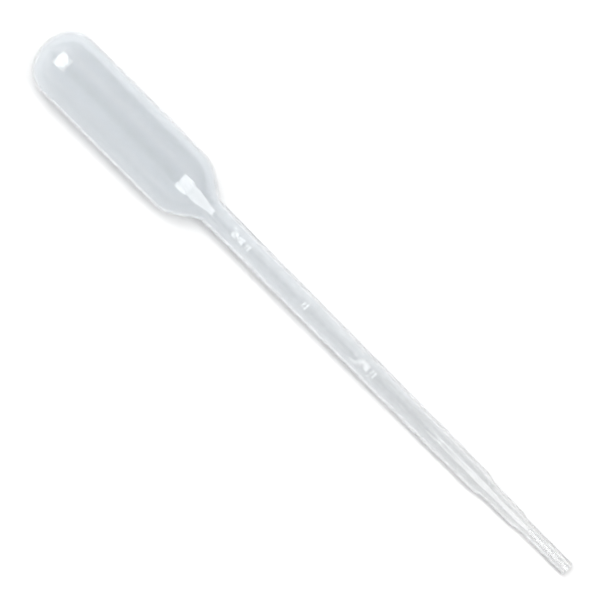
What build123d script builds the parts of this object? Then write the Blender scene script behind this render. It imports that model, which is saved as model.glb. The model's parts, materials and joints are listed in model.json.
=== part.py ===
"""Graduated dropper pipette, blow-moulded in one piece from soft polyethylene.

A closed squeeze bulb runs through a rounded shoulder into a long, slightly tapered stem, which
steps down twice to a fine open tip.  Four raised lines on the stem mark quarter millilitres,
counted from the tip, and two of them are labelled.

All lengths are in millimetres.  The pipette is drawn along X with its closed end at x = 0 and
its tip at +X, and is then laid down as it rests on a flat surface.  Lengths along the axis are
measured between the corners of the outline before they are rounded.
"""

import os
from math import asin, atan2, cos, degrees, hypot, radians, tan

from build123d import *

# ---- bulb and shoulder ----
bulb_diameter = 14.7
bulb_length = 41.0          # closed end to the shoulder's upper corner
bulb_wall = 0.45
dome_crown = 9.0            # radius of the closed end
dome_corner = 6.1           # rounding from the closed end into the bulb's side
shoulder_angle = 36.0       # slope of the shoulder against the axis, in degrees
shoulder_crown = 9.0        # rounding from the bulb into the shoulder
shoulder_root = 3.2         # rounding from the shoulder into the stem

# ---- stem ----
stem_diameter = 5.65        # at the shoulder
stem_end_diameter = 5.15    # at the upper step
stem_wall = 0.63
neck_length = 10.8          # shoulder's lower corner to the 1 mL line
line_pitches = (16.4, 19.5, 19.0)  # from the 1 mL line down to 0.75, 0.5 and 0.25 mL
plain_length = 12.1         # 0.25 mL line to the upper step

# ---- nozzle and tip ----
upper_step = 2.0
nozzle_diameter = 3.95
nozzle_end_diameter = 3.8
nozzle_length = 8.6
nozzle_wall = 0.65
lower_step = 1.2
step_round = 3.0            # rounding of both steps' corners
tip_diameter = 3.1
tip_length = 13.2
tip_wall = 0.65
rim_round = 0.25            # rounding of the tip's end, outside
bore_rim = 0.1              # and inside

# ---- raised lines and labels ----
relief = 0.15               # height above the stem's surface
line_width = 0.72
line_spread = 4.5           # how far a line reaches across the stem, seen from above
cap_height = 2.8
stroke_width = 0.32
letter_gap = 0.45
label_gap = 0.85            # last letter's end to the middle of its line

# ---- lying ----
marks_turn = 5.0            # how far the marks are turned from straight up, towards +Y

# ---- the closed end: a crown of one radius that a smaller one joins to the side ----
bulb_radius = bulb_diameter / 2
crown_angle = asin((bulb_radius - dome_corner) / (dome_crown - dome_corner))
dome_depth = dome_crown - (dome_crown - dome_corner) * cos(crown_angle)

# ---- places along the axis ----
shoulder_start = bulb_length
shoulder_end = shoulder_start + (bulb_radius - stem_diameter / 2) / tan(radians(shoulder_angle))
lines = [shoulder_end + neck_length]
for pitch in line_pitches:
    lines.append(lines[-1] + pitch)
stem_end = lines[-1] + plain_length
nozzle_start = stem_end + upper_step
nozzle_end = nozzle_start + nozzle_length
tip_start = nozzle_end + lower_step
tip_end = tip_start + tip_length

# Corners of the outline: place, outer diameter, wall and rounding, which is negative where the
# outer skin is hollow.
corners = [
    (shoulder_start, bulb_diameter, bulb_wall, shoulder_crown),
    (shoulder_end, stem_diameter, stem_wall, -shoulder_root),
    (stem_end, stem_end_diameter, stem_wall, step_round),
    (nozzle_start, nozzle_diameter, nozzle_wall, -step_round),
    (nozzle_end, nozzle_end_diameter, nozzle_wall, step_round),
    (tip_start, tip_diameter, tip_wall, -step_round),
]


def section():
    """Half section of the wall, from the closed end round the tip's rim and back inside."""
    outside = [(place, diameter / 2) for place, diameter, _, _ in corners]
    inside = [(place, diameter / 2 - wall) for place, diameter, wall, _ in corners]
    path = (
        [(dome_depth, bulb_radius), *outside, (tip_end, tip_diameter / 2)]
        + [(tip_end, tip_diameter / 2 - tip_wall), *reversed(inside)]
        + [(dome_depth, bulb_radius - bulb_wall)]
    )
    crown_turn = degrees(crown_angle)
    outer_rounds = [abs(rounding) for _, _, _, rounding in corners]
    inner_rounds = [abs(rounding - wall) for _, _, wall, rounding in corners]
    with BuildSketch() as half:
        with BuildLine():
            FilletPolyline(*path, radius=[*outer_rounds, rim_round, bore_rim, *reversed(inner_rounds)])
            for inset in (0, bulb_wall):
                CenterArc((dome_crown, 0), dome_crown - inset, 180, -crown_turn)
                corner_centre = (dome_depth, bulb_radius - dome_corner)
                CenterArc(corner_centre, dome_corner - inset, 90, 90 - crown_turn)
            Line((0, 0), (bulb_wall, 0))
        make_face()
    return half.sketch


def stem_cone(growth):
    """Solid cone along the stem whose surface lies outside the stem's by the given growth."""
    return Pos(shoulder_end, 0, 0) * Cone(
        stem_diameter / 2 + growth,
        stem_end_diameter / 2 + growth,
        stem_end - shoulder_end,
        rotation=(0, 90, 0),
        align=(Align.CENTER, Align.CENTER, Align.MIN),
    )


def glyph(letter):
    """Centre lines of one letter whose height is 1, and its width."""
    if letter == "1":
        return [Polyline((0, 0.8), (0.14, 1), (0.14, 0))], 0.14
    if letter == "5":
        flag = Polyline((0.36, 1), (0.05, 1), (0.02, 0.545))
        bowl = CenterArc((0.11, 0.28), 0.28, 109, -220)
        return [flag, bowl], 0.39
    if letter == "M":
        return [Polyline((0, 0), (0, 1), (0.25, 0.35), (0.5, 1), (0.5, 0))], 0.5
    if letter == "L":
        return [Polyline((0, 1), (0, 0), (0.3, 0))], 0.3
    return [Line((0, 0), (0, 0.02))], 0.0  # a point


def label(words, line_place):
    """Flat round-ended strokes of a label that reads towards the tip and ends at its line."""
    faces = []
    place = line_place - label_gap
    for letter in reversed(words):
        strokes, width = glyph(letter)
        place -= width * cap_height
        for stroke in strokes:
            drawn = Pos(place, -cap_height / 2) * scale(stroke, cap_height)
            outline = Wire(drawn.edges()).offset_2d(stroke_width / 2, kind=Kind.ARC)
            faces.append(Face(outline))
        place -= letter_gap
    return faces


def raised_marks():
    """Raised lines and labels, as prisms that are trimmed to a thin sleeve on the stem."""
    sleeve = stem_cone(relief) - stem_cone(-stem_wall / 2)
    flat = [Pos(place, 0) * Rectangle(line_width, line_spread) for place in lines]
    flat += label("1ML", lines[0]) + label(".5ML", lines[2])
    return [Rot(-marks_turn, 0, 0) * (extrude(mark, amount=stem_diameter) & sleeve) for mark in flat]


def lying_tilt():
    """Angle between the axis and the floor when the shoulder and the tip's rim both touch it."""
    crown_start = shoulder_start - shoulder_crown * tan(radians(shoulder_angle / 2))
    along = tip_end - rim_round - crown_start
    across = (bulb_radius - shoulder_crown) - (tip_diameter / 2 - rim_round)
    return degrees(asin((shoulder_crown - rim_round) / hypot(along, across)) + atan2(across, along))


def pipette():
    """The whole pipette, lying on the floor with its marks upwards and its origin under it."""
    body = Rot(90, 0, 0) * revolve(section(), axis=Axis.X)  # its own edge is on top, under the marks
    straight = body + raised_marks()
    lying = Rot(0, lying_tilt(), 0) * straight
    box = lying.bounding_box()
    return Pos(-box.center().X, -box.center().Y, -box.min.Z) * lying


os.makedirs("parts", exist_ok=True)
export_step(pipette(), "parts/pipette.step")
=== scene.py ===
"""Graduated dropper pipette of milky polyethylene, lying on a pale table.

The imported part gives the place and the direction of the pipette's axis.  The sizes below repeat
the real ones in millimetres along that axis, from the closed end to the tip, and the mesh is made
from them in metres: one closed skin that runs outside from the closed end to the tip's rim and
back inside to the closed end.
"""

import json
import logging
import math
from dataclasses import dataclass, field
from enum import Enum
from typing import Any

import bpy
import numpy as np
from mathutils import Matrix, Vector


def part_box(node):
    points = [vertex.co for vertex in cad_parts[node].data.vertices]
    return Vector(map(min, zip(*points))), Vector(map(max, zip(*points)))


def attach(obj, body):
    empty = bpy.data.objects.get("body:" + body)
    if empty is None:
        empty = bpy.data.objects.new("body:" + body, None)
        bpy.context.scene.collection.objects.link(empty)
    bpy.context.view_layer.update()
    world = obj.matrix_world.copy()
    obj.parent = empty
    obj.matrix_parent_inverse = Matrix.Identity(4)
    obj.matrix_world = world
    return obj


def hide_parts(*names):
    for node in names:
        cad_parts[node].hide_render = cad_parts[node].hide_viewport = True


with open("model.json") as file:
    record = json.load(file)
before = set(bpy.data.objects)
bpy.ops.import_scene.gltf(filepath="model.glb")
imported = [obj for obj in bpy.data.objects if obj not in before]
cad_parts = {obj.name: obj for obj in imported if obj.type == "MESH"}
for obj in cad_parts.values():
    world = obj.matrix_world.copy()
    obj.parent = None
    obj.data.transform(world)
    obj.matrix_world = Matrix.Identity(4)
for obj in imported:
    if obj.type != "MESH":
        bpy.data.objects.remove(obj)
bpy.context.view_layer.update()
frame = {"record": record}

MM = 0.001
NODE = "pipette"
HAIR = 1e-9  # millimetres by which a ring may miss the start of a stretch
NOISE_RANGE = (0.3, 0.7)  # where most of a noise texture's values lie
BLACK = (0.0, 0.0, 0.0, 1.0)

log = logging.getLogger("dropper_pipette")


class Skin(Enum):
    """The two faces of the wall."""

    OUTSIDE = "outside"
    BORE = "bore"


class Reading(Enum):
    """The volumes that are labelled on the stem."""

    WHOLE = "1ML"
    HALF = ".5ML"


# --------------------------------------------------------------------------------------
# Sizes, in millimetres
# --------------------------------------------------------------------------------------


@dataclass(frozen=True)
class Corner:
    """A corner of the outline before it is rounded.

    Attributes:
        place: distance from the closed end along the axis.
        radius: radius of the outer skin there.
        wall: thickness of the wall there.
        rounding: radius of the corner, negative where the outer skin is hollow.
    """

    place: float
    radius: float
    wall: float
    rounding: float


@dataclass(frozen=True)
class Bulb:
    """The squeeze bulb, its closed end and its shoulder.

    Attributes:
        radius: radius of the bulb's side.
        length: closed end to the shoulder's upper corner.
        wall: thickness of the wall.
        dome_crown: radius of the closed end.
        dome_corner: radius that joins the closed end to the side.
        shoulder_angle: slope of the shoulder against the axis, in degrees.
        shoulder_crown: rounding from the side into the shoulder.
        shoulder_root: rounding from the shoulder into the stem.
    """

    radius: float = 7.35
    length: float = 41.0
    wall: float = 0.45
    dome_crown: float = 9.0
    dome_corner: float = 6.1
    shoulder_angle: float = 36.0
    shoulder_crown: float = 9.0
    shoulder_root: float = 3.2

    @property
    def crown_angle(self) -> float:
        """Angle, from the axis, at which the closed end's crown meets its corner."""
        return math.asin((self.radius - self.dome_corner) / (self.dome_crown - self.dome_corner))

    @property
    def dome_depth(self) -> float:
        """Height of the rounded closed end."""
        return self.dome_crown - (self.dome_crown - self.dome_corner) * math.cos(self.crown_angle)


@dataclass(frozen=True)
class Stem:
    """The graduated stem.

    Attributes:
        radius: radius at the shoulder.
        end_radius: radius at the upper step.
        wall: thickness of the wall.
        neck_length: shoulder's lower corner to the first line.
        pitches: each line to the next, towards the tip.
        plain_length: last line to the upper step.
    """

    radius: float = 2.825
    end_radius: float = 2.575
    wall: float = 0.63
    neck_length: float = 10.8
    pitches: tuple[float, ...] = (16.4, 19.5, 19.0)
    plain_length: float = 12.1


@dataclass(frozen=True)
class Nozzle:
    """The two steps below the stem, the nozzle between them and the tip.

    Attributes:
        upper_step: length of the step from the stem to the nozzle.
        radius: the nozzle's radius at the upper step.
        end_radius: its radius at the lower step.
        length: its length.
        wall: thickness of its wall.
        lower_step: length of the step from the nozzle to the tip.
        step_round: rounding of both steps' corners.
        tip_radius: radius of the tip.
        tip_length: its length.
        tip_wall: thickness of its wall.
        rim_round: rounding of its end, outside.
        bore_rim: rounding of its end, inside.
    """

    upper_step: float = 2.0
    radius: float = 1.975
    end_radius: float = 1.9
    length: float = 8.6
    wall: float = 0.65
    lower_step: float = 1.2
    step_round: float = 3.0
    tip_radius: float = 1.55
    tip_length: float = 13.2
    tip_wall: float = 0.65
    rim_round: float = 0.25
    bore_rim: float = 0.1


@dataclass(frozen=True)
class Marks:
    """The raised lines and labels.

    Attributes:
        relief: their height above the stem's surface.
        line_width: width of a line, along the stem.
        line_spread: how far a line reaches across the stem, seen from above.
        side_run: width of the soft flank at each edge of a mark.
        cap_height: height of the letters.
        stroke_width: width of their strokes.
        letter_gap: distance between letters.
        label_gap: last letter's end to the middle of its line.
        turn: how far the marks are turned from straight up, towards +Y, in degrees.
    """

    relief: float = 0.15
    line_width: float = 0.72
    line_spread: float = 4.5
    side_run: float = 0.34
    cap_height: float = 2.8
    stroke_width: float = 0.32
    letter_gap: float = 0.45
    label_gap: float = 0.85
    turn: float = 5.0


@dataclass(frozen=True)
class Fineness:
    """How closely the skin is divided, in millimetres and degrees.

    Attributes:
        mark_step: distance between rings on the raised marks.
        bend_step: distance between rings where the outline bends.
        stem_step: distance between rings elsewhere on the stem.
        bulb_step: distance between rings on the bulb.
        bore_step: least distance between rings inside, away from the bends.
        least_step: shortest distance between two rings.
        last_share: part of a step that the last ring keeps from the rim.
        bulb_margin: how far before the shoulder the bulb's wide rings end.
        line_share: part of a line's width that close rings cover on each side of its middle.
        line_margin: how far past that they reach.
        bend_share: part of a corner's rounding that close rings cover on each side of it.
        bend_margin: how far past that they reach.
        label_margin: how far close columns reach past the letters' ends.
        arc_turn: angle between rings on the closed end.
        label_turn: angle between columns on the letters.
        line_turn: angle between columns from the letters to the seam.
        side_turn: angle between columns below the seam.
    """

    mark_step: float = 0.08
    bend_step: float = 0.3
    stem_step: float = 0.7
    bulb_step: float = 1.2
    bore_step: float = 0.9
    least_step: float = 0.05
    last_share: float = 0.3
    bulb_margin: float = 4.0
    line_share: float = 0.75
    line_margin: float = 0.2
    bend_share: float = 0.35
    bend_margin: float = 0.6
    label_margin: float = 0.35
    arc_turn: float = 6.0
    label_turn: float = 1.6
    line_turn: float = 3.4
    side_turn: float = 4.5


@dataclass(frozen=True)
class Waviness:
    """How the inside of the wall wanders from an even thickness, as in any blown wall.

    Attributes:
        bulb_height: how far it wanders in the bulb.
        neck_height: how far it wanders where the stem leaves the bulb.
        stem_height: how far it wanders further down.
        fade: length over which it sets in, and over which it calms down.
        broad_length: length of a radian of the broad wave, which moves the bore to one side.
        broad_start: where the broad wave starts, along and round the axis, in radians.
        oval_length: length of a radian of the wave that makes the bore oval.
        oval_twist: length over which the oval turns by a radian.
        oval_share: height of that wave against the broad one.
        short_length: length of a radian of the short wave.
        short_lag: how far the short wave lags behind on one side, in radians.
        short_share: height of that wave against the broad one.
    """

    bulb_height: float = 0.002
    neck_height: float = 0.08
    stem_height: float = 0.02
    fade: float = 6.0
    broad_length: float = 5.3
    broad_start: tuple[float, float] = (1.1, 0.4)
    oval_length: float = 2.9
    oval_twist: float = 17.0
    oval_share: float = 0.6
    short_length: float = 1.7
    short_lag: float = 2.0
    short_share: float = 0.4


# --------------------------------------------------------------------------------------
# The outline of the wall
# --------------------------------------------------------------------------------------


def arc_points(
    centre: tuple[float, float], radius: float, start: float, sweep: float, count: int = 14
) -> list[tuple[float, float]]:
    """Points along an arc.

    Args:
        centre: the arc's centre.
        radius: its radius.
        start: angle of its first point, in degrees.
        sweep: how far it turns, in degrees, negative clockwise.
        count: number of points.

    Returns:
        The points, in order.
    """
    angles = np.radians(start + sweep * np.linspace(0, 1, count))
    return [(centre[0] + radius * math.cos(a), centre[1] + radius * math.sin(a)) for a in angles]


class Outline:
    """Half outline of the pipette's wall, as the radius of each skin at a place on the axis."""

    def __init__(self, bulb: Bulb, stem: Stem, nozzle: Nozzle) -> None:
        """Works out every place along the axis.

        Args:
            bulb: sizes of the bulb.
            stem: sizes of the stem.
            nozzle: sizes of the nozzle and tip.
        """
        self.bulb, self.stem, self.nozzle = bulb, stem, nozzle
        slope = math.tan(math.radians(bulb.shoulder_angle))
        self.shoulder_start = bulb.length
        self.shoulder_end = bulb.length + (bulb.radius - stem.radius) / slope
        self.lines = [self.shoulder_end + stem.neck_length]
        for pitch in stem.pitches:
            self.lines.append(self.lines[-1] + pitch)
        self.stem_end = self.lines[-1] + stem.plain_length
        nozzle_start = self.stem_end + nozzle.upper_step
        nozzle_end = nozzle_start + nozzle.length
        tip_start = nozzle_end + nozzle.lower_step
        self.tip_end = tip_start + nozzle.tip_length
        self.corners = [
            Corner(self.shoulder_start, bulb.radius, bulb.wall, bulb.shoulder_crown),
            Corner(self.shoulder_end, stem.radius, stem.wall, -bulb.shoulder_root),
            Corner(self.stem_end, stem.end_radius, stem.wall, nozzle.step_round),
            Corner(nozzle_start, nozzle.radius, nozzle.wall, -nozzle.step_round),
            Corner(nozzle_end, nozzle.end_radius, nozzle.wall, nozzle.step_round),
            Corner(tip_start, nozzle.tip_radius, nozzle.tip_wall, -nozzle.step_round),
        ]

    def points(self, skin: Skin) -> list[tuple[float, float]]:
        """Unrounded outline of one skin between the dome and the rim.

        Args:
            skin: the face of the wall.

        Returns:
            Pairs of place and radius.
        """
        inset = 0.0 if skin is Skin.OUTSIDE else 1.0
        first = (self.bulb.dome_depth, self.bulb.radius - inset * self.bulb.wall)
        last = (self.tip_end, self.nozzle.tip_radius - inset * self.nozzle.tip_wall)
        return [first, *((c.place, c.radius - inset * c.wall) for c in self.corners), last]

    def radius(self, places: np.ndarray, skin: Skin) -> np.ndarray:
        """Radius of one skin at places between the dome and the rim.

        Args:
            places: distances from the closed end.
            skin: the face of the wall.

        Returns:
            The radius at each place.
        """
        knots = self.points(skin)
        radii = np.interp(places, [k[0] for k in knots], [k[1] for k in knots])
        for before, knot, after, corner in zip(knots, knots[1:], knots[2:], self.corners):
            inset = 0.0 if skin is Skin.OUTSIDE else corner.wall
            arc = abs(corner.rounding - inset)
            into = math.atan2(knot[1] - before[1], knot[0] - before[0])
            out = math.atan2(after[1] - knot[1], after[0] - knot[0])
            reach = arc * math.tan(abs(out - into) / 2)
            bulge = 1.0 if out < into else -1.0
            start = (knot[0] - reach * math.cos(into), knot[1] - reach * math.sin(into))
            centre = (start[0] + bulge * arc * math.sin(into), start[1] - bulge * arc * math.cos(into))
            end = knot[0] + reach * math.cos(out)
            inside = (places > start[0]) & (places < end)
            rise = np.sqrt(np.maximum(arc**2 - (places[inside] - centre[0]) ** 2, 0.0))
            radii[inside] = centre[1] + bulge * rise
        return radii

    def dome(self, skin: Skin, turn: float) -> list[tuple[float, float]]:
        """The rounded closed end of one skin, from the axis to the bulb's side.

        Args:
            skin: the face of the wall.
            turn: largest angle between two points, in degrees.

        Returns:
            Pairs of place and radius, with the axis left out.
        """
        bulb = self.bulb
        inset = 0.0 if skin is Skin.OUTSIDE else bulb.wall
        bend = math.degrees(bulb.crown_angle)
        crown_count = 2 * math.ceil(bend / turn) + 1
        crown = arc_points((bulb.dome_crown, 0.0), bulb.dome_crown - inset, 180, -bend, crown_count)
        centre = (bulb.dome_depth, bulb.radius - bulb.dome_corner)
        corner_count = math.ceil((90 - bend) / turn) + 1
        corner = arc_points(centre, bulb.dome_corner - inset, 180 - bend, bend - 90, corner_count)
        return crown[1:] + corner[1:]

    def rim(self, turn: float) -> list[tuple[float, float]]:
        """The rounded end of the tip, from the outside to the bore.

        Args:
            turn: largest angle between two points, in degrees.

        Returns:
            Pairs of place and radius.
        """
        outside, inside = self.nozzle.rim_round, self.nozzle.bore_rim
        bore = self.nozzle.tip_radius - self.nozzle.tip_wall
        count = math.ceil(90 / (2 * turn)) + 1
        outer_centre = (self.tip_end - outside, self.nozzle.tip_radius - outside)
        inner_centre = (self.tip_end - inside, bore + inside)
        outer = arc_points(outer_centre, outside, 90, -90, count)
        return outer + arc_points(inner_centre, inside, 0, -90, count)


# --------------------------------------------------------------------------------------
# Raised marks
# --------------------------------------------------------------------------------------


@dataclass(frozen=True)
class Letter:
    """One letter of height 1.

    Attributes:
        strokes: centre lines, each a list of points.
        width: how far it reaches to the right of its left side.
    """

    strokes: list[list[tuple[float, float]]]
    width: float


LETTERS = {
    "1": Letter([[(0, 0.8), (0.14, 1), (0.14, 0)]], 0.14),
    "5": Letter(
        [[(0.36, 1), (0.05, 1), (0.02, 0.545)], arc_points((0.11, 0.28), 0.28, 109, -220)], 0.39
    ),
    "M": Letter([[(0, 0), (0, 1), (0.25, 0.35), (0.5, 1), (0.5, 0)]], 0.5),
    "L": Letter([[(0, 1), (0, 0), (0.3, 0)]], 0.3),
    ".": Letter([[(0, 0), (0, 0.02)]], 0.0),
}


class RaisedMarks:
    """Height of the lines and labels above the stem's surface."""

    def __init__(self, marks: Marks, lines: list[float]) -> None:
        """Draws the strokes where they stand on the stem.

        Args:
            marks: sizes of the marks.
            lines: places of the four lines.
        """
        self.marks = marks
        self.labels = {Reading.WHOLE: lines[0], Reading.HALF: lines[2]}
        half = marks.line_spread / 2
        self.strokes = [([(place, -half), (place, half)], marks.line_width) for place in lines]
        for reading, place in self.labels.items():
            self.strokes += [(stroke, marks.stroke_width) for stroke in self.written(reading, place)]

    def written(self, reading: Reading, line_place: float) -> list[list[tuple[float, float]]]:
        """Strokes of one label, which reads towards the tip and ends at its line.

        Args:
            reading: the label.
            line_place: place of its line.

        Returns:
            Each stroke's points, as pairs of place and distance across.
        """
        marks, strokes = self.marks, []
        place = line_place - marks.label_gap
        for character in reversed(reading.value):
            letter = LETTERS[character]
            place -= letter.width * marks.cap_height
            strokes += [
                [(place + x * marks.cap_height, (y - 0.5) * marks.cap_height) for x, y in stroke]
                for stroke in letter.strokes
            ]
            place -= marks.letter_gap
        return strokes

    def reach(self, reading: Reading) -> float:
        """How far a label reaches from its line towards the bulb."""
        first = min(x for stroke in self.written(reading, 0.0) for x, _ in stroke)
        return self.marks.stroke_width - first

    def height(self, places: np.ndarray, across: np.ndarray) -> np.ndarray:
        """Height of the relief over points of the stem seen from above.

        Args:
            places: distance of each point from the closed end.
            across: its distance from the middle of the marks.

        Returns:
            The height at each point.
        """
        height = np.zeros_like(places)
        for points, width in self.strokes:
            half_reach = (width + self.marks.side_run) / 2
            for (x0, y0), (x1, y1) in zip(points, points[1:]):
                near = (places > min(x0, x1) - half_reach) & (places < max(x0, x1) + half_reach)
                if not near.any():
                    continue
                run, climb = x1 - x0, y1 - y0
                from_x, from_y = places[near] - x0, across[near] - y0
                share = np.clip((from_x * run + from_y * climb) / (run**2 + climb**2), 0, 1)
                away = np.hypot(from_x - share * run, from_y - share * climb)
                rise = np.clip((half_reach - away) / self.marks.side_run, 0, 1)
                flank = self.marks.relief * rise**2 * (3 - 2 * rise)
                height[near] = np.maximum(height[near], flank)
        return height


# --------------------------------------------------------------------------------------
# The moulded body
# --------------------------------------------------------------------------------------


@dataclass
class MouldedBody:
    """The whole pipette as one closed skin with raised marks, a mould's seam and a wavy inside.

    Attributes:
        bulb: sizes of the bulb.
        stem: sizes of the stem.
        nozzle: sizes of the nozzle and tip.
        marks: sizes of the raised marks.
        waviness: how the inside of the wall wanders.
        fineness: how closely the skin is divided.
        seam_height: height of the mould's parting line.
        seam_quarter: a quarter of its whole width, in degrees round the axis.
        seam_end: how far before the tip's end it stops.
    """

    bulb: Bulb = field(default_factory=Bulb)
    stem: Stem = field(default_factory=Stem)
    nozzle: Nozzle = field(default_factory=Nozzle)
    marks: Marks = field(default_factory=Marks)
    waviness: Waviness = field(default_factory=Waviness)
    fineness: Fineness = field(default_factory=Fineness)
    seam_height: float = 0.01
    seam_quarter: float = 0.8
    seam_end: float = 0.5

    def __post_init__(self) -> None:
        """Works out the outline and the marks."""
        self.outline = Outline(self.bulb, self.stem, self.nozzle)
        self.raised = RaisedMarks(self.marks, self.outline.lines)

    def fine_zones(self, skin: Skin) -> list[tuple[float, float, float]]:
        """Stretches of one skin that need closer rings.

        Args:
            skin: the face of the wall.

        Returns:
            Each stretch's start and end, and the step between its rings.
        """
        outline, fine = self.outline, self.fineness
        zones = []
        for corner in outline.corners:
            spread = fine.bend_share * abs(corner.rounding) + fine.bend_margin
            zones.append((corner.place - spread, corner.place + spread, fine.bend_step))
        if skin is Skin.OUTSIDE:
            side = fine.line_share * self.marks.line_width + fine.line_margin
            zones += [(place - side, place + side, fine.mark_step) for place in outline.lines]
            for reading, place in self.raised.labels.items():
                zones.append((place - self.raised.reach(reading), place, fine.mark_step))
        return zones

    def ring_places(self, skin: Skin) -> np.ndarray:
        """Places of the rings between the dome and the rim, from the bulb to the tip.

        Args:
            skin: the face of the wall.

        Returns:
            The places in rising order.
        """
        fine, zones = self.fineness, self.fine_zones(skin)
        rim = self.nozzle.rim_round if skin is Skin.OUTSIDE else self.nozzle.bore_rim
        end = self.outline.tip_end - rim
        bulb_end = self.outline.shoulder_start - fine.bulb_margin
        places = []
        place = self.bulb.dome_depth
        while True:
            step = fine.bulb_step if place < bulb_end else fine.stem_step
            if skin is Skin.BORE:
                step = max(step, fine.bore_step)
            ahead = [start - place for start, _, _ in zones if 0 < start - place < step]
            here = [zone_step for start, stop, zone_step in zones if start - HAIR <= place < stop]
            step = min([step, *here, *(max(gap, fine.least_step) for gap in ahead)])
            place += step
            if place >= end - fine.last_share * step:
                return np.array(places)
            places.append(place)

    def columns(self) -> np.ndarray:
        """Places the columns round the axis, close together on the letters and at the seam.

        Returns:
            Their angles from the middle of the marks, in radians.
        """
        fine = self.fineness
        letter_end = self.marks.cap_height / 2 + fine.label_margin
        label_edge = math.degrees(math.asin(letter_end / self.stem.radius))
        seam = [90 + part * self.seam_quarter for part in (-2, -1, 0, 1, 2)]
        stretches = [
            (0.0, label_edge, fine.label_turn),
            (label_edge, seam[0], fine.line_turn),
            (seam[-1], 180.0, fine.side_turn),
        ]
        label, line, side = (
            np.linspace(start, stop, round((stop - start) / turn) + 1)
            for start, stop, turn in stretches
        )
        half = [*label[:-1], *line[:-1], *seam[:-1], *side]
        return np.radians([*half, *(-angle for angle in reversed(half[1:-1]))])

    def rings(self) -> tuple[np.ndarray, np.ndarray, np.ndarray]:
        """The closed skin's rings, from the closed end outside round the rim to the closed end inside.

        Returns:
            The place and the radius of each ring's points, and the columns' angles.
        """
        outline, turn = self.outline, self.fineness.arc_turn
        angles = self.columns()
        outside = self.ring_places(Skin.OUTSIDE)
        bore = self.ring_places(Skin.BORE)[::-1]
        line = [
            *outline.dome(Skin.OUTSIDE, turn),
            *zip(outside, outline.radius(outside, Skin.OUTSIDE)),
            *outline.rim(turn),
        ]
        outer_count = len(line)
        line += [
            *zip(bore, outline.radius(bore, Skin.BORE)),
            *reversed(outline.dome(Skin.BORE, turn)),
        ]
        places, radii = (np.repeat(column[:, None], len(angles), axis=1) for column in np.array(line).T)
        radii[:outer_count] += self.relief(places[:outer_count], radii[:outer_count], angles)
        radii[outer_count:] -= self.wander(places[outer_count:], angles)
        return places, radii, angles

    def relief(self, places: np.ndarray, radii: np.ndarray, angles: np.ndarray) -> np.ndarray:
        """Height of the marks and the seam over the outer skin.

        Args:
            places: place of each point.
            radii: its radius.
            angles: the columns' angles.

        Returns:
            The height at each point.
        """
        across = radii * np.sin(angles)[None, :]
        marked = (np.cos(angles)[None, :] > 0) & (places > self.outline.shoulder_end)
        height = np.where(marked, self.raised.height(places, across), 0.0)
        off_seam = np.abs(np.degrees(np.abs(angles)) - 90) / (2 * self.seam_quarter)
        seam = self.seam_height * np.maximum(1 - off_seam, 0)[None, :]
        clear_of_rim = places < self.outline.tip_end - self.seam_end
        return height + np.where(clear_of_rim, seam, 0.0)

    def wander(self, places: np.ndarray, angles: np.ndarray) -> np.ndarray:
        """How far the bore stands in from its even outline.

        Args:
            places: place of each point.
            angles: the columns' angles.

        Returns:
            The distance at each point.
        """
        outline, waviness = self.outline, self.waviness
        along, around = waviness.broad_start
        broad = np.sin(places / waviness.broad_length + along) * np.cos(angles + around)
        oval = np.sin(places / waviness.oval_length) * np.cos(2 * angles - places / waviness.oval_twist)
        short = np.sin(places / waviness.short_length + waviness.short_lag * np.sin(angles))
        wave = broad + waviness.oval_share * oval + waviness.short_share * short
        stages = [
            (self.bulb.dome_depth, 0.0),
            (self.bulb.dome_depth + waviness.fade, waviness.bulb_height),
            (outline.shoulder_start, waviness.bulb_height),
            (outline.shoulder_end, waviness.neck_height),
            (outline.lines[0], waviness.neck_height),
            (outline.lines[0] + waviness.fade, waviness.stem_height),
            (outline.stem_end - waviness.fade, waviness.stem_height),
            (outline.stem_end, 0.0),
        ]
        stage_places, heights = zip(*stages)
        return wave * np.interp(places, stage_places, heights)

    def mesh(self) -> bpy.types.Mesh:
        """The closed skin along its own axis, with the closed end at the origin.

        Returns:
            The mesh, in metres.
        """
        places, radii, angles = self.rings()
        count, around = places.shape
        points = np.stack(
            [places, radii * np.sin(angles)[None, :], radii * np.cos(angles)[None, :]], axis=-1
        ).reshape(-1, 3)
        ends = np.array([[0.0, 0.0, 0.0], [self.bulb.wall, 0.0, 0.0]])
        index = np.arange(count * around).reshape(count, around)
        beside = np.roll(index, -1, axis=1)
        quads = np.stack([index[:-1], index[1:], beside[1:], beside[:-1]], axis=-1).reshape(-1, 4)
        outer_end, inner_end = count * around, count * around + 1
        faces = [tuple(q) for q in quads.tolist()]
        faces += [(outer_end, a, b) for a, b in zip(index[0].tolist(), beside[0].tolist())]
        faces += [(inner_end, b, a) for a, b in zip(index[-1].tolist(), beside[-1].tolist())]
        mesh = bpy.data.meshes.new(NODE)
        mesh.from_pydata((np.vstack([points, ends]) * MM).tolist(), [], faces)
        mesh.shade_smooth()
        mesh.update()
        return mesh

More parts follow.
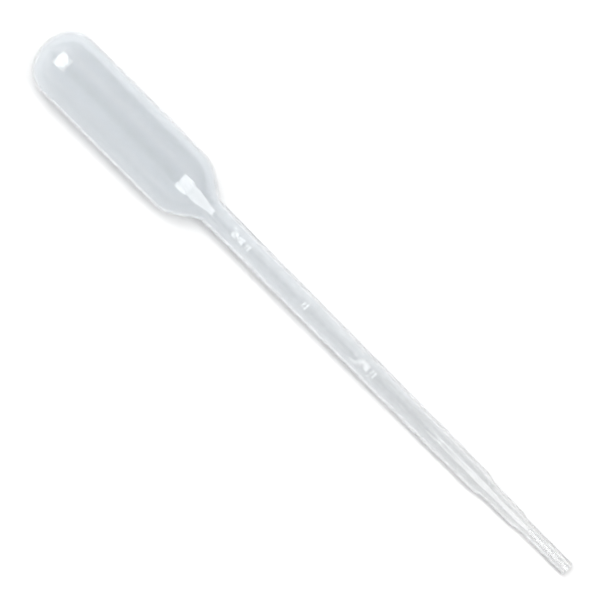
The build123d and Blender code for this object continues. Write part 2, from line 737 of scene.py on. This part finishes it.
    def lay_down(self, mesh: bpy.types.Mesh) -> None:
        """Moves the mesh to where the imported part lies, and keeps it within that part's box.

        Args:
            mesh: the skin along its own axis.
        """
        tip = next(m for m in frame["record"]["mounts"] if m["name"] == "tip")
        along = Vector(tip["axis"]).normalized()
        tilt = math.atan2(-along.z, along.x)
        marks_up = Matrix.Rotation(math.radians(-self.marks.turn), 4, "X")
        mesh.transform(Matrix.Rotation(tilt, 4, "Y") @ marks_up)
        low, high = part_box(NODE)
        points = np.array([vertex.co for vertex in mesh.vertices])
        least, most = points.min(0), points.max(0)
        fit = [min(1.0, room / size) for room, size in zip(high - low, most - least)]
        mesh.transform(Matrix.Diagonal((*fit, 1.0)))
        least, most = least * fit, most * fit
        centre, middle = (low + high) / 2, (least + most) / 2
        shift = (centre.x - middle[0], centre.y - middle[1], low.z - least[2])
        mesh.transform(Matrix.Translation(shift))

    def build(self, finish: "MilkyPolyethylene") -> bpy.types.Object:
        """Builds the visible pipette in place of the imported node.

        Args:
            finish: the plastic's finish.

        Returns:
            The visible pipette.
        """
        mesh = self.mesh()
        self.lay_down(mesh)
        mesh.materials.append(finish.material())
        piece = bpy.data.objects.new("moulded_pipette", mesh)
        bpy.context.scene.collection.objects.link(piece)
        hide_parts(NODE)
        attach(piece, "root")
        log.info("%s: %d faces", piece.name, len(mesh.polygons))
        return piece


# --------------------------------------------------------------------------------------
# Finishes
# --------------------------------------------------------------------------------------


class NodeTree:
    """Short way to add and join shader nodes."""

    def __init__(self, tree: bpy.types.NodeTree) -> None:
        """Empties the tree.

        Args:
            tree: a material's or world's node tree.
        """
        self.tree = tree
        tree.nodes.clear()

    def add(self, kind: str, settings: dict[str, Any] | None = None, **inputs: Any) -> bpy.types.Node:
        """Adds one node.

        Args:
            kind: the node's type.
            settings: values of the node's own properties.
            inputs: socket values or the sockets that feed them, with _ for a space.

        Returns:
            The node.
        """
        node = self.tree.nodes.new(kind)
        for name, value in (settings or {}).items():
            setattr(node, name, value)
        for name, value in inputs.items():
            socket = node.inputs[name.replace("_", " ")]
            if isinstance(value, bpy.types.NodeSocket):
                self.tree.links.new(value, socket)
            else:
                socket.default_value = value
        return node

    @staticmethod
    def fill_ramp(ramp: bpy.types.Node, stops: list[tuple[float, tuple[float, float, float]]]) -> None:
        """Sets the stops of a colour ramp.

        Args:
            ramp: the ramp's node.
            stops: each stop's place, from 0 to 1, and its colour.
        """
        elements = ramp.color_ramp.elements
        while len(elements) < len(stops):
            elements.new(0.5)
        for element, (place, colour) in zip(elements, stops):
            element.position = place
            element.color = (*colour, 1.0)


@dataclass(frozen=True)
class MilkyPolyethylene:
    """Clear, slightly milky low-density polyethylene, as it comes from the mould.

    Attributes:
        tints: colours of the thinly blown bulb, of the stem and of the tip.
        tint_places: places along X, in metres, where the plastic has each of them.
        absorption: exponent by which a metre of the plastic dims light.
        clarity: share of light that goes on through instead of scattering at the surface.
        roughness: mean roughness of the moulded surface.
        rough_range: least and most roughness against the mean.
        ior: refractive index.
        flow_stretch: how much the surface's unevenness is drawn out along the axis.
        haze_scale: how many patches of more and less gloss there are to a metre.
        ripple_scale: how many shallow ripples there are to a metre.
        ripple_strength: how much the ripples bend the surface.
        ripple_depth: their depth, in metres.
    """

    tints: tuple[tuple[float, float, float], ...] = (
        (0.952, 0.978, 1.0),
        (0.968, 0.986, 1.0),
        (0.988, 0.996, 1.0),
    )
    tint_places: tuple[float, float, float] = (-0.035, 0.02, 0.06)
    absorption: float = 100.0
    clarity: float = 0.8
    roughness: float = 0.05
    rough_range: tuple[float, float] = (0.8, 1.25)
    ior: float = 1.51
    flow_stretch: float = 0.25
    haze_scale: float = 900.0
    ripple_scale: float = 260.0
    ripple_strength: float = 0.015
    ripple_depth: float = 0.0002

    def material(self) -> bpy.types.Material:
        """Builds the node material.

        Returns:
            The material.
        """
        material = bpy.data.materials.new("milky_polyethylene")
        material.use_nodes = True
        nodes = NodeTree(material.node_tree)
        place = nodes.add("ShaderNodeTexCoord").outputs["Object"]
        shell = nodes.add(
            "ShaderNodeBsdfPrincipled",
            Base_Color=self.tint(nodes, place),
            IOR=self.ior,
            Transmission_Weight=self.clarity,
            **self.surface(nodes, place),
        )
        depth = nodes.add("ShaderNodeVolumeAbsorption", Color=BLACK, Density=self.absorption)
        nodes.add(
            "ShaderNodeOutputMaterial", Surface=shell.outputs["BSDF"], Volume=depth.outputs["Volume"]
        )
        return material

    def surface(self, nodes: NodeTree, place: bpy.types.NodeSocket) -> dict[str, bpy.types.NodeSocket]:
        """Makes the gloss uneven and the surface slightly rippled, as plastic flows in its mould.

        Args:
            nodes: the material's nodes.
            place: the place on the pipette.

        Returns:
            The shell's roughness and normal.
        """
        stretch = (self.flow_stretch, 1.0, 1.0)
        flow = nodes.add("ShaderNodeMapping", Vector=place, Scale=stretch).outputs["Vector"]
        haze = nodes.add(
            "ShaderNodeTexNoise", Vector=flow, Scale=self.haze_scale, Detail=3.0, Roughness=0.55
        )
        ripple = nodes.add(
            "ShaderNodeTexNoise", Vector=flow, Scale=self.ripple_scale, Detail=2.0, Roughness=0.4
        )
        low, high = NOISE_RANGE
        least, most = (self.roughness * part for part in self.rough_range)
        gloss = nodes.add(
            "ShaderNodeMapRange",
            Value=haze.outputs["Fac"], From_Min=low, From_Max=high, To_Min=least, To_Max=most,
        )
        bump = nodes.add(
            "ShaderNodeBump",
            Height=ripple.outputs["Fac"], Strength=self.ripple_strength, Distance=self.ripple_depth,
        )
        return {"Roughness": gloss.outputs["Result"], "Normal": bump.outputs["Normal"]}

    def tint(self, nodes: NodeTree, place: bpy.types.NodeSocket) -> bpy.types.NodeSocket:
        """Runs the plastic's colour from the bulb to the tip.

        Args:
            nodes: the material's nodes.
            place: the place on the pipette.

        Returns:
            The colour.
        """
        along = nodes.add("ShaderNodeSeparateXYZ", Vector=place).outputs["X"]
        first, *_, last = self.tint_places
        share = nodes.add("ShaderNodeMapRange", Value=along, From_Min=first, From_Max=last)
        ramp = nodes.add("ShaderNodeValToRGB", Fac=share.outputs["Result"])
        nodes.fill_ramp(ramp, [
            ((tint_place - first) / (last - first), colour)
            for tint_place, colour in zip(self.tint_places, self.tints)
        ])
        return ramp.outputs["Color"]


@dataclass(frozen=True)
class PaleTable:
    """Matt white table top.

    Attributes:
        colour: its lightest colour.
        mottle: how much darker its darkest spots are.
        grain_scale: how many spots there are to a metre.
        roughness: roughness of its surface.
        sheen: how strongly it reflects.
    """

    colour: tuple[float, float, float] = (0.7, 0.7, 0.7)
    mottle: float = 0.01
    grain_scale: float = 90.0
    roughness: float = 0.85
    sheen: float = 0.1

    def material(self) -> bpy.types.Material:
        """Builds the node material.

        Returns:
            The material.
        """
        material = bpy.data.materials.new("pale_table")
        material.use_nodes = True
        nodes = NodeTree(material.node_tree)
        place = nodes.add("ShaderNodeTexCoord").outputs["Object"]
        grain = nodes.add(
            "ShaderNodeTexNoise", Vector=place, Scale=self.grain_scale, Detail=4.0, Roughness=0.6
        )
        darker = tuple(part * (1 - self.mottle) for part in self.colour)
        ramp = nodes.add("ShaderNodeValToRGB", Fac=grain.outputs["Fac"])
        nodes.fill_ramp(ramp, [(0.0, darker), (1.0, self.colour)])
        top = nodes.add(
            "ShaderNodeBsdfPrincipled",
            Base_Color=ramp.outputs["Color"],
            Roughness=self.roughness,
            Specular_IOR_Level=self.sheen,
        )
        nodes.add("ShaderNodeOutputMaterial", Surface=top.outputs["BSDF"])
        return material


# --------------------------------------------------------------------------------------
# Studio
# --------------------------------------------------------------------------------------


class PanelShape(Enum):
    """Outlines of a panel of light."""

    SQUARE = "RECTANGLE"
    ROUND = "ELLIPSE"


@dataclass(frozen=True)
class GlintPanel:
    """Panel of light that only glints show.

    Attributes:
        lean: how far it leans from straight up towards the closed end, in degrees.
        half_along: half the angle that it spans along the pipette, in degrees.
        half_across: half the angle that it spans across it, in degrees.
        light: its brightness, as seen; a round one comes out brighter by 4/pi.
        shape: its outline.
    """

    lean: float
    half_along: float
    half_across: float
    light: float
    shape: PanelShape


@dataclass
class Studio:
    """Pale table, soft tent of light, softbox, glint panels, top light and the camera above.

    Attributes:
        floor_half: half the table's side, in metres.
        axis_turn: how far the pipette is turned clockwise in the picture, in degrees.
        aim: point that the camera looks at, in millimetres.
        frame_width: width of table in the picture, in millimetres.
        lens: focal length, in millimetres.
        softbox_lean: angle between the softbox's direction and straight up, in degrees.
        softbox_distance: its distance, in metres.
        softbox_side: its side, in metres.
        softbox_light: its brightness, as seen.
        glint_panels: the panels that only glints show.
        glint_distance: their distance, in metres, which must differ from the softbox's, because one
            of two lamps that lie in the same plane would give no light.
        top_lean: angle between the top light's direction and straight up, towards +Y, in degrees.
        top_distance: its distance, in metres.
        top_spread: half angles that it spans along and across, in degrees.
        top_level: its brightness, as seen.
        tent_stops: angle from straight up towards +Y, in degrees, and the tent's light there.
        bounces: how often light is followed in all.
        through_bounces: how often it is followed through the plastic.
        glossy_bounces: how often its reflections are followed.
        filter_width: width over which the picture is smoothed.
    """

    floor_half: float = 2.5
    axis_turn: float = 45.2
    aim: tuple[float, float, float] = (-2.0, 0.06, 6.0)
    frame_width: float = 121.1
    lens: float = 300.0
    softbox_lean: float = 26.0
    softbox_distance: float = 1.5
    softbox_side: float = 1.33
    softbox_light: float = 2.55
    glint_panels: tuple[GlintPanel, ...] = (
        GlintPanel(26.0, 22.0, 22.0, 3.8, PanelShape.ROUND),
        GlintPanel(-30.0, 20.0, 26.0, 6.5, PanelShape.SQUARE),
        GlintPanel(-68.0, 17.0, 18.0, 5.6, PanelShape.SQUARE),
    )
    glint_distance: float = 1.7
    top_lean: float = 8.2
    top_distance: float = 1.0
    top_spread: tuple[float, float] = (25.0, 6.0)
    top_level: float = 10.6
    tent_stops: tuple[tuple[float, float], ...] = (
        (-90.0, 0.65), (-65.0, 1.2), (-45.0, 0.75), (-30.0, 0.5), (-20.5, 0.6), (-18.5, 0.05),
        (-4.0, 0.05), (6.0, 0.4), (20.0, 0.7), (35.0, 1.15), (50.0, 0.75), (65.0, 0.45), (90.0, 0.15),
    )
    bounces: int = 24
    through_bounces: int = 20
    glossy_bounces: int = 8
    filter_width: float = 2.0

    def floor(self) -> bpy.types.Object:
        """Adds the table.

        Returns:
            The table.
        """
        half = self.floor_half
        corners = [(-half, -half, 0), (half, -half, 0), (half, half, 0), (-half, half, 0)]
        mesh = bpy.data.meshes.new("table")
        mesh.from_pydata(corners, [], [(0, 1, 2, 3)])
        mesh.materials.append(PaleTable().material())
        table = bpy.data.objects.new("table", mesh)
        bpy.context.scene.collection.objects.link(table)
        return table

    def tent(self) -> None:
        """Lights the scene from a tent that runs along the pipette."""
        world = bpy.data.worlds.new("light_tent")
        bpy.context.scene.world = world
        world.use_nodes = True
        nodes = NodeTree(world.node_tree)
        direction = nodes.add("ShaderNodeTexCoord").outputs["Generated"]
        part = nodes.add("ShaderNodeSeparateXYZ", Vector=direction)
        lean = nodes.add("ShaderNodeMath", {"operation": "ARCTAN2"})
        nodes.tree.links.new(part.outputs["Y"], lean.inputs[0])
        nodes.tree.links.new(part.outputs["Z"], lean.inputs[1])
        share = nodes.add(
            "ShaderNodeMapRange", Value=lean.outputs["Value"],
            From_Min=-math.pi / 2, From_Max=math.pi / 2, To_Min=0.0, To_Max=1.0,
        )
        ramp = nodes.add("ShaderNodeValToRGB", Fac=share.outputs["Result"])
        nodes.fill_ramp(ramp, [((angle + 90) / 180, (light,) * 3) for angle, light in self.tent_stops])
        glow = nodes.add("ShaderNodeBackground", Color=ramp.outputs["Color"], Strength=1.0)
        nodes.add("ShaderNodeOutputWorld", Surface=glow.outputs["Background"])

    def area(
        self,
        name: str,
        lean: tuple[float, float],
        distance: float,
        size: tuple[float, float],
        radiance: float,
    ) -> bpy.types.Object:
        """Adds one flat lamp that faces the pipette.

        Args:
            name: the lamp's name.
            lean: how far it leans towards the closed end and towards +Y, in degrees.
            distance: its distance, in metres.
            size: its sides along and across the pipette, in metres.
            radiance: its brightness, as seen, if it is rectangular.

        Returns:
            The lamp.
        """
        data = bpy.data.lights.new(name, "AREA")
        data.shape = "RECTANGLE"
        data.size, data.size_y = size
        data.energy = radiance * math.pi * size[0] * size[1]
        lamp = bpy.data.objects.new(name, data)
        along, across = (math.radians(-part) for part in lean)
        turned = Matrix.Rotation(along, 4, "Y") @ Matrix.Rotation(across, 4, "X")
        lamp.matrix_world = turned @ Matrix.Translation((0.0, 0.0, distance))
        bpy.context.scene.collection.objects.link(lamp)
        return lamp

    @staticmethod
    def spanned(halves: tuple[float, float], distance: float) -> tuple[float, float]:
        """Sides of a flat lamp that spans given angles.

        Args:
            halves: half the angles that it spans along and across, in degrees.
            distance: its distance, in metres.

        Returns:
            Its sides along and across, in metres.
        """
        along, across = (2 * distance * math.tan(math.radians(half)) for half in halves)
        return along, across

    def softbox(self) -> bpy.types.Object:
        """Adds the softbox beyond the bulb's closed end.

        Returns:
            The softbox.
        """
        size = (self.softbox_side, self.softbox_side)
        lean = (self.softbox_lean, 0.0)
        return self.area("softbox", lean, self.softbox_distance, size, self.softbox_light)

    def panels(self) -> None:
        """Adds the panels that only glints show."""
        for glint in self.glint_panels:
            halves = (glint.half_along, glint.half_across)
            size = self.spanned(halves, self.glint_distance)
            lean = (glint.lean, 0.0)
            panel = self.area("glint_panel", lean, self.glint_distance, size, glint.light)
            panel.data.shape = glint.shape.value
            panel.visible_diffuse = False
            panel.visible_transmission = False

    def top_light(self) -> bpy.types.Object:
        """Adds the long light overhead, which throws the narrow shadow and makes no glint.

        Returns:
            The light.
        """
        size = self.spanned(self.top_spread, self.top_distance)
        lean = (0.0, self.top_lean)
        lamp = self.area("top_light", lean, self.top_distance, size, self.top_level)
        lamp.visible_glossy = False
        lamp.visible_transmission = False
        return lamp

    def camera(self) -> bpy.types.Object:
        """Adds the camera, which looks straight down.

        Returns:
            The camera.
        """
        data = bpy.data.cameras.new("camera")
        data.lens = self.lens
        camera = bpy.data.objects.new("camera", data)
        distance = self.frame_width * self.lens / data.sensor_width
        turn = math.radians(self.axis_turn)
        target = Vector(self.aim)
        camera.location = (target + Vector((0.0, 0.0, distance))) * MM
        camera.rotation_euler = (0.0, 0.0, turn)
        bpy.context.scene.collection.objects.link(camera)
        bpy.context.scene.camera = camera
        return camera

    def look(self) -> None:
        """Sets how light becomes picture brightness, and how far light is followed."""
        scene = bpy.context.scene
        scene.view_settings.view_transform = "Standard"
        scene.view_settings.look = "None"
        scene.cycles.max_bounces = self.bounces
        scene.cycles.transmission_bounces = self.through_bounces
        scene.cycles.glossy_bounces = self.glossy_bounces
        scene.cycles.blur_glossy = 0.0
        scene.cycles.filter_width = self.filter_width

    def build(self) -> None:
        """Builds the whole studio."""
        self.camera()
        self.floor()
        self.tent()
        self.panels()
        self.softbox()
        self.top_light()
        self.look()
        log.info("studio: camera, table, tent, softbox, top light and %d panels", len(self.glint_panels))


def main() -> None:
    """Builds the studio and the pipette."""
    logging.basicConfig(level=logging.INFO, format="%(name)s: %(message)s")
    Studio().build()
    MouldedBody().build(MilkyPolyethylene())


if __name__ == "__main__":
    main()
